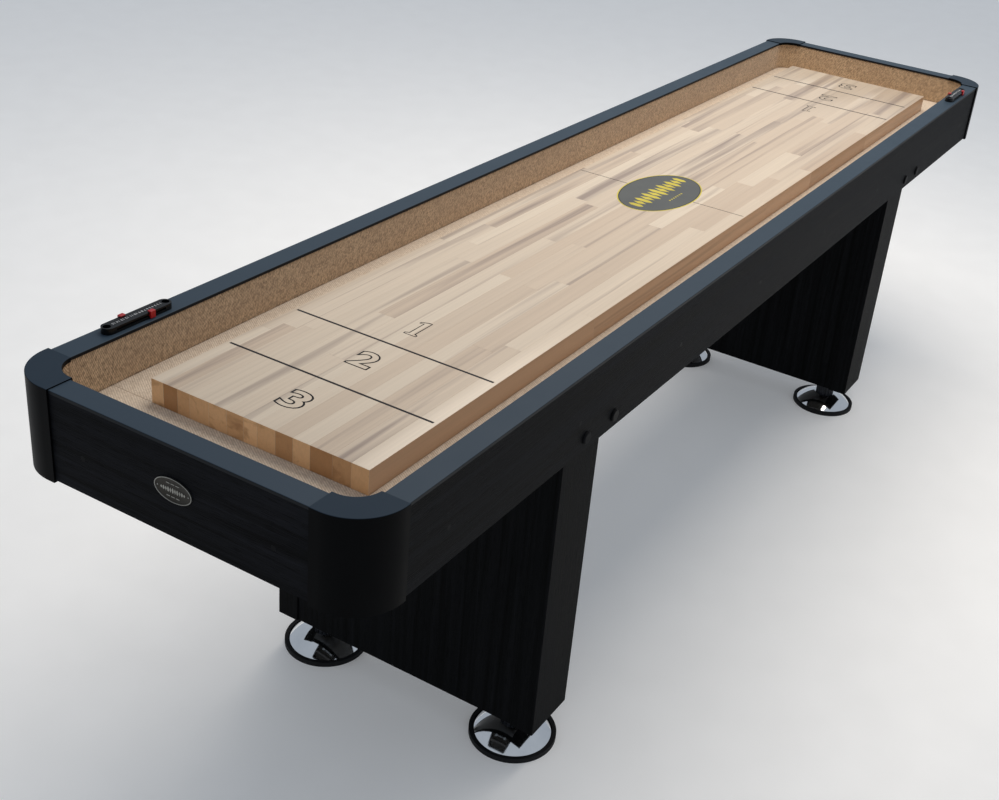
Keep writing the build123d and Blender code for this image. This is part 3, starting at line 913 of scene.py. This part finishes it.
def end_floor(end, sign):
    """Gutter carpet beyond an end of the board, with its two outer corners rounded."""
    low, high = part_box(f"end_carpet_{end}")
    across, up = high.x - low.x, high.y - low.y
    radius = corner_turn - 0.0003
    piece = pile_grid(f"gutter_carpet_{end}", across, up)
    close_back(piece, high.z - low.z - pile_depth)
    inner_x, inner_y = across - radius, up / 2 - radius

    def round_off(co):
        """Pulls the square corners of the flat carpet onto the liner's round ones."""
        x = co.x if sign > 0 else across - co.x
        y = co.y - up / 2
        dx, dy = x - inner_x, abs(y) - inner_y
        if dx > 0 and dy > 0:
            pull = max(dx, dy) / math.hypot(dx, dy)
            x = inner_x + dx * pull
            y = math.copysign(inner_y + dy * pull, y)
        x = x if sign > 0 else across - x
        return Vector((low.x + x, (low.y + high.y) / 2 + y, high.z + co.z))

    place_each(piece, round_off)
    lay(
        piece,
        lit_floor_loops,
        "floor_carpet",
        f"end_carpet_{end}",
    )


for side, sign in sides.items():
    side_wall(side, sign)
    side_floor(side, sign)
for end, sign in ends.items():
    end_wall(end, sign)
    end_floor(end, sign)


# ---------------------------------------------------------------- cabinet, legs, feet
board_easing = 0.0008
batten_easing = 0.0012


def finished(node, finish_used, slot, edge=0.0, body="table", name=None):
    """A CAD node's shape, its edges eased when an easing width is given, in its own finish."""
    piece = cad_copy(node, name or f"{node}_finished")
    if edge:
        soften(piece, edge)
    smooth(piece, 35)
    modify(piece, "WEIGHTED_NORMAL", keep_sharp=True)
    return dress(piece, finish_used, body, slot, node)


def refinish(node, finish_used):
    """A CAD node kept as it is, with a new finish."""
    for used in cad[node].material_slots:
        used.material = finish_used


for side in sides:
    finished(f"side_apron_{side}", apron_side_wrap, "woodgrain_laminate", board_easing)
    finished(f"side_rail_{side}", rail_hpl, "rail_laminate")
for end in ends:
    finished(f"end_apron_{end}", apron_end_wrap, "woodgrain_laminate", board_easing)
    finished(f"end_rail_{end}", rail_hpl, "rail_laminate")
    finished(f"leg_panels_{end}", shaded_leg_wrap, "leg_laminate", board_easing)
    finished(f"leg_foot_board_{end}", pine, "plain_wood")
    for side in sides:
        finished(f"corner_casting_{end}_{side}", casting_abs, "corner_plastic")
        finished(f"leg_post_{end}_{side}", shaded_leg_wrap, "leg_laminate")
        refinish(f"leveler_disc_{end}_{side}", bright_chrome)
        refinish(f"leveler_pad_{end}_{side}", foot_nitrile)
        refinish(f"leveler_stud_{end}_{side}", black_turned)
finished("deck_braces", pine, "plain_wood", batten_easing)
refinish("deck_board", pressed_board)
for node in ("adjuster_brackets_and_studs", "leg_bolt_inserts", "leveler_sockets"):
    refinish(node, zinc_plate)
for place in ("near", "middle", "far"):
    refinish(f"adjuster_turnbuckle_{place}", zinc_plate)
for node in ("corner_screws", "deck_screws", "leg_bolts", "scorer_screws"):
    refinish(node, black_oxide)


def plaque():
    """Oval cast badge: bright rim, dark stippled field, raised lozenges and bars, two pins."""
    low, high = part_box("plaque")
    middle = (low + high) / 2
    rim, hollow, relief = 0.0011, 0.0008, 0.0006
    mark_pitch, mark_width, mark_height = 0.0039, 0.0032, 0.0085
    bar_rise, bar_pitch, bar_half = 0.0095, 0.008, Vector((relief / 2, 0.003, 0.0006))
    pin_radius, pin_reach = 0.0011, 0.0262
    take()
    bpy.ops.mesh.primitive_cylinder_add(
        vertices=96,
        radius=0.5,
        depth=high.x - low.x,
        rotation=(0, -math.pi / 2, 0),
        location=middle,
    )
    bpy.context.object.scale = (high.z - low.z, high.y - low.y, 1)
    badge = settle(bpy.context.object, "plaque_casting")
    edit(badge, "FACE", lambda face: face.normal.x < -0.9)
    bpy.ops.mesh.inset(thickness=rim)
    bpy.ops.mesh.extrude_region_move(TRANSFORM_OT_translate={"value": (hollow, 0, 0)})
    close()
    smooth(soften(badge, 0.0003, 2, 40), 35)
    dress(badge, pewter_bright, "table", "pewter", "plaque")
    badge.data.materials.append(pewter_dark)
    for face in badge.data.polygons:
        if face.normal.x < -0.9 and face.center.x > low.x + hollow / 2:
            face.material_index = 1
    field = low.x + hollow
    seat = field - 0.0002
    marks = []
    for step in range(-5, 6):
        take()
        tall = mark_height * (1 - (step / 8) ** 2)
        bpy.ops.mesh.primitive_cylinder_add(
            vertices=4 if step % 2 else 8,
            radius=0.5,
            depth=relief,
            rotation=(0, math.pi / 2, 0),
            location=(seat, middle.y + step * mark_pitch, middle.z),
        )
        bpy.context.object.scale = (tall, mark_width, 1)
        marks.append(settle(bpy.context.object, "mark"))
    for rise in (-bar_rise, bar_rise):
        for step in (-1, 0, 1):
            centre = Vector((seat, middle.y + step * bar_pitch, middle.z + rise))
            marks.append(block("mark", centre - bar_half, centre + bar_half))
    for sign in (-1, 1):
        take()
        bpy.ops.mesh.primitive_uv_sphere_add(
            segments=16,
            ring_count=8,
            radius=pin_radius,
            location=(field, middle.y + sign * pin_reach, middle.z),
        )
        bpy.context.object.scale = (0.7, 1, 1)
        marks.append(settle(bpy.context.object, "mark"))
    raised = smooth(soften(join("plaque_motif", marks), 0.0001, 1), 40)
    dress(raised, pewter_bright, "table", "pewter")


plaque()


def scorer(end, side):
    """Scorer bar with white numbers printed along its middle."""
    node = f"scorer_body_{end}_{side}"
    low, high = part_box(node)
    middle = (low + high) / 2
    finished(node, scorer_abs, "black_abs", name=f"scorer_bar_{end}")
    words = "1 2 3 4 5 6 7 8 9 10 11 12 13 14 15"
    place = (middle.x, middle.y, high.z + 0.0001)
    turn = 0 if side == "right" else math.pi
    size, thickness = (0.094, 0.0042), 0.0003
    numbers = lettering(f"scorer_numbers_{end}", words, size, place, turn, thickness)
    dress(numbers, printed_white, "table", None)


scorer("near", "left")
scorer("far", "right")
for end in ends:
    for face in ("outer", "inner"):
        node = f"score_slider_{end}_{face}"
        finished(node, slider_abs, "red_abs", board_easing, body=f"slider_{end}_{face}")

# ---------------------------------------------------------------- floor, light, camera
take()
bpy.ops.mesh.primitive_plane_add(size=60)
floor = settle(bpy.context.object, "studio_floor")
# Matt white studio floor, very slightly lit from within so that its shadows stay soft.
studio_white = grained(
    "matt_studio_floor",
    "#f6f6f5",
    "#fafaf9",
    8,
    0.01,
    (0.8, 0.9),
    Specular_IOR_Level=0.1,
    Emission_Color=(1, 1, 1, 1),
    Emission_Strength=0.12,
)
floor.data.materials.append(studio_white)

world = bpy.data.worlds.new("studio_air")
world.use_nodes = True
air = world.node_tree.nodes["Background"]
air.inputs["Color"].default_value = linear("#e4edf9")
air.inputs["Strength"].default_value = 0.48
bpy.context.scene.world = world

# One warm softbox overhead, shining straight down, a little towards the far end.
lamp = bpy.data.lights.new("overhead_softbox", "AREA")
lamp.shape, lamp.size, lamp.energy = "SQUARE", 2.2, 60
lamp.color = linear("#fff5e8")[:3]
holder = bpy.data.objects.new("overhead_softbox", lamp)
bpy.context.scene.collection.objects.link(holder)
holder.location = (0.75, 0.1, 2.95)

eye = bpy.data.cameras.new("table_camera")
eye.sensor_width = 36.0
eye.lens = 48.709
eye.shift_x = -0.0559
eye.shift_y = -0.0141
eye.clip_end = 100
camera = bpy.data.objects.new("table_camera", eye)
bpy.context.scene.collection.objects.link(camera)
camera.location = (-2.41618, -1.06877, 1.68806)
camera.rotation_euler = [math.radians(angle) for angle in (61.7641, -5.5437, -59.4905)]
bpy.context.scene.camera = camera
bpy.context.scene.view_settings.view_transform = "Standard"
